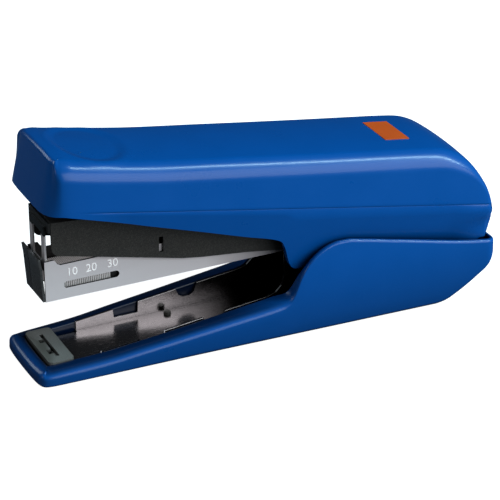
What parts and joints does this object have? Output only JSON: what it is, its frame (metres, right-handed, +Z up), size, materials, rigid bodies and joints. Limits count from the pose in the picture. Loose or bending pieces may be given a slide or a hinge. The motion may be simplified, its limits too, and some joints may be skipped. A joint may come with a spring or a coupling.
{
  "type": "desk stapler",
  "caption": "Light-effort flat-clinch desk stapler: long blue handle and base shells, black driver arm and steel magazine standing open over a steel-lined base with a clinch plate.",
  "frame": {"origin": "centre of the footprint, on the rest plane", "axes": "+X from the nose to the rear hinge, +Y across, +Z up"},
  "size_m": [0.1336, 0.0346, 0.063],
  "materials": {
    "blue_plastic": "moulded satin-gloss blue ABS",
    "black_steel": "fine textured black paint",
    "bright_steel": "nickel-plated sheet steel",
    "dark_steel": "ground tool steel",
    "polished_steel": "polished",
    "spring_steel": "drawn wire",
    "black_plastic": "moulded black acetal",
    "orange_plastic": "orange inlay",
    "rubber": "non-slip rubber",
    "staple_wire": "glued staple wire",
    "black_gloss": "gloss black"
  },
  "bodies": {
    "base": {"base_shell": "blue_plastic", "rubber_feet": "rubber", "base_frame": "bright_steel", "base_screws": "dark_steel", "anvil_plate": "dark_steel", "clincher_pins": "polished_steel", "clincher_lever_pin": "polished_steel", "hinge_pin": "polished_steel", "pin_clip": "spring_steel", "pivot_bush": "polished_steel", "return_spring": "spring_steel"},
    "magazine": {"magazine": "bright_steel", "magazine_nose": "black_gloss", "staple_rail": "bright_steel", "spring_seat": "black_plastic", "pusher_rod": "polished_steel", "staple_strip": "staple_wire"},
    "pusher": {"pusher": "black_plastic", "pusher_spring": "spring_steel"},
    "driver_arm": {"driver_arm": "black_steel", "driver_holder": "black_plastic", "driver_blade": "polished_steel", "driver_rivets": "polished_steel", "roller_pin": "polished_steel"},
    "arm_rollers": {"arm_rollers": "polished_steel"},
    "lift_frame": {"lift_frame": "dark_steel", "handle_rivets": "polished_steel"},
    "handle": {"handle_frame": "dark_steel", "handle_screws": "dark_steel", "handle_shell": "blue_plastic", "label_inlay": "orange_plastic"},
    "clincher_lever": {"clincher_lever": "dark_steel"},
    "clincher_wing_left": {"clincher_wing_left": "dark_steel"},
    "clincher_wing_right": {"clincher_wing_right": "dark_steel"}
  },
  "joints": [
    {"name": "magazine_press", "type": "hinge", "parent": "base", "child": "magazine", "pos_m": [0.0438, 0, 0.02306], "axis": [0, -1, 0], "range_deg": [0, 8.7]},
    {"name": "pusher_slide", "type": "slide", "parent": "magazine", "child": "pusher", "axis": [1, 0, 0], "range_m": [0, 0.045], "deforming": ["pusher_spring"]},
    {"name": "loading_lift", "type": "hinge", "parent": "base", "child": "lift_frame", "pos_m": [0.0438, 0, 0.02306], "axis": [0, 1, 0], "range_deg": [0, 10]},
    {"name": "arm_press", "type": "hinge", "parent": "lift_frame", "child": "driver_arm", "pos_m": [0.0438, 0, 0.02306], "axis": [0, -1, 0], "range_deg": [0, 13], "deforming": ["return_spring"]},
    {"name": "roller_spin", "type": "hinge", "parent": "driver_arm", "child": "arm_rollers", "pos_m": [-0.0133, 0, 0.03675], "axis": [0, 1, 0], "continuous": true},
    {"name": "handle_press", "type": "hinge", "parent": "lift_frame", "child": "handle", "pos_m": [0.0238, 0, 0.021], "axis": [0, -1, 0], "range_deg": [0, 20]},
    {"name": "clincher_lift", "type": "hinge", "parent": "base", "child": "clincher_lever", "pos_m": [-0.0316, 0, 0.0017], "axis": [0, 1, 0], "range_deg": [0, 1]},
    {"name": "wing_right_fold", "type": "hinge", "parent": "base", "child": "clincher_wing_right", "pos_m": [-0.05885, 0.0052, 0.00375], "axis": [-1, 0, 0], "range_deg": [0, 12]},
    {"name": "wing_left_fold", "type": "hinge", "parent": "base", "child": "clincher_wing_left", "pos_m": [-0.05885, -0.0052, 0.00375], "axis": [1, 0, 0], "range_deg": [0, 12]}
  ],
  "couplings": [
    {"joint": "magazine_press", "follows": "handle_press", "ratio": 0.435},
    {"joint": "arm_press", "follows": "handle_press", "ratio": 0.65},
    {"joint": "clincher_lift", "follows": "handle_press", "ratio": 0.05},
    {"joint": "wing_right_fold", "follows": "handle_press", "ratio": 0.6},
    {"joint": "wing_left_fold", "follows": "handle_press", "ratio": 0.6}
  ]
}
